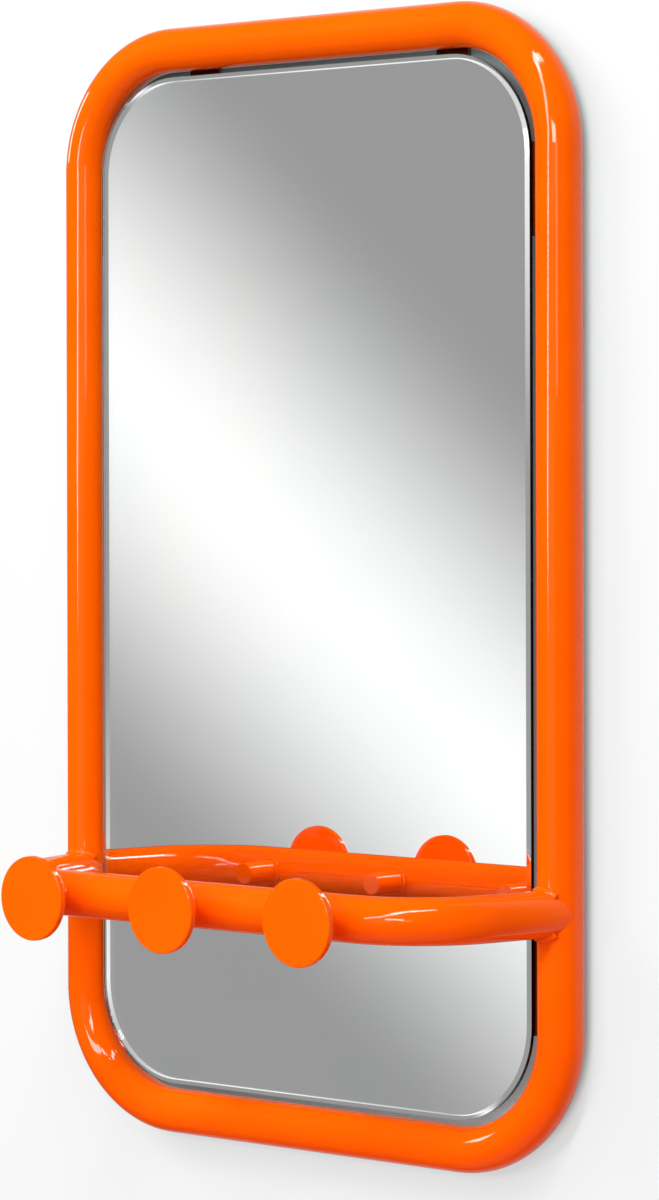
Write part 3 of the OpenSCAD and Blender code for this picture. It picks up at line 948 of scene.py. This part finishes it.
class MIRROR_OT_lay_welds(bpy.types.Operator):
    """Lays rippled beads at the rail's ends, around the hook bars and on the plates"""
    bl_idname = "mirror.lay_welds"
    bl_label = "Lay the weld beads"

    def execute(self, context):
        settings = context.scene.mirror_settings
        paint, sizes = settings.paint, settings.welds
        gloss = powder_coat("powder_coat_on_weld", paint, full_coat(paint), weld=True)
        # Painted shade: the plates' beads take the plates' darker tones
        shade_coat = powder_coat("powder_coat_plate_shade_on_weld", paint, PLATE_SHADE_TONES, weld=True)
        tree = bead_tree()
        ends = [arc(top - ARM_BEAD_SPREAD, top + ARM_BEAD_SPREAD, arm_joint(side))
                for side in (-1, 1) for top in (90, 270)]
        bars = [ring(peg_joint(x, side)) for x in PEG_X for side in (-1, 1)]
        discs = [ring(disc_joint(x)) for x in PEG_X]
        supports = plate_joints("support_plate_welds", Vector((0, 0, SUPPORT_BEAD_HALF)))
        hangers = plate_joints("hanger_welds", Vector((HANGER_BEAD_HALF, 0, 0)))
        rail, hook, plate = sizes.rail_bead, sizes.hook_bead, sizes.plate_bead
        weld_piece("rail_end_beads", "rail_end_welds", ends, tree, rail, sizes, gloss)
        weld_piece("hook_bar_beads", "peg_welds", bars, tree, hook, sizes, gloss)
        weld_piece("disc_beads", "disc_welds", discs, tree, hook, sizes, gloss)
        weld_piece("support_plate_beads", "support_plate_welds", supports, tree, plate, sizes, shade_coat)
        weld_piece("hanger_beads", "hanger_welds", hangers, tree, plate, sizes, shade_coat)
        return {"FINISHED"}


class MIRROR_OT_glaze(bpy.types.Operator):
    """Gives the glass, its silvering, the safety film and the foam tape their finishes"""
    bl_idname = "mirror.glaze"
    bl_label = "Glaze the mirror"

    def execute(self, context):
        dress("mirror_glass", float_glass())
        dress("mirror_silvering", silver_coat())
        dress("safety_film", backing_film())
        dress("tape_pads", closed_cell_foam())
        return {"FINISHED"}


class MIRROR_OT_fit_buffers(bpy.types.Operator):
    """Gives the wall buffers their rubber"""
    bl_idname = "mirror.fit_buffers"
    bl_label = "Fit the wall buffers"

    def execute(self, context):
        dress("wall_buffers", moulded_rubber())
        return {"FINISHED"}


class MIRROR_OT_set_stage(bpy.types.Operator):
    """Puts up the wall, the floor, the lamps, the surroundings and the camera"""
    bl_idname = "mirror.set_stage"
    bl_label = "Set the stage"

    def execute(self, context):
        sizes = context.scene.mirror_settings.stage
        wall_and_floor(sizes)
        soft_lamp("key", KEY_LAMP, sizes.key_power)
        studio_lamps(sizes.studio_level)
        fill_painted_pieces(sizes)
        back = soft_lamp("back", BACK_LAMP, sizes.back_power)
        back.data.cycles.max_bounces = 0
        surroundings(sizes.ambient)
        context.scene.camera = fitted_camera()
        context.scene.view_settings.view_transform = "Standard"
        return {"FINISHED"}


class MIRROR_PT_panel(bpy.types.Panel):
    bl_idname = "MIRROR_PT_panel"
    bl_label = "Mirror with hooks"
    bl_space_type = "VIEW_3D"
    bl_region_type = "UI"
    bl_category = "Mirror"

    def draw(self, context):
        settings = context.scene.mirror_settings
        for group in (settings.paint, settings.welds, settings.stage):
            box = self.layout.box()
            for name in group.bl_rna.properties.keys():
                if name not in ("rna_type", "name"):
                    box.prop(group, name)
        for operator in OPERATORS:
            self.layout.operator(operator.bl_idname)


OPERATORS = (MIRROR_OT_coat_steel, MIRROR_OT_lay_welds, MIRROR_OT_glaze, MIRROR_OT_fit_buffers,
             MIRROR_OT_set_stage)
CLASSES = (MIRROR_PG_paint, MIRROR_PG_welds, MIRROR_PG_stage, MIRROR_PG_settings,
           *OPERATORS, MIRROR_PT_panel)


def register():
    for cls in CLASSES:
        bpy.utils.register_class(cls)
    bpy.types.Scene.mirror_settings = PointerProperty(type=MIRROR_PG_settings)


def unregister():
    del bpy.types.Scene.mirror_settings
    for cls in reversed(CLASSES):
        bpy.utils.unregister_class(cls)


def main():
    register()
    bpy.ops.mirror.coat_steel()
    bpy.ops.mirror.lay_welds()
    bpy.ops.mirror.glaze()
    bpy.ops.mirror.fit_buffers()
    bpy.ops.mirror.set_stage()


if __name__ == "__main__":
    main()
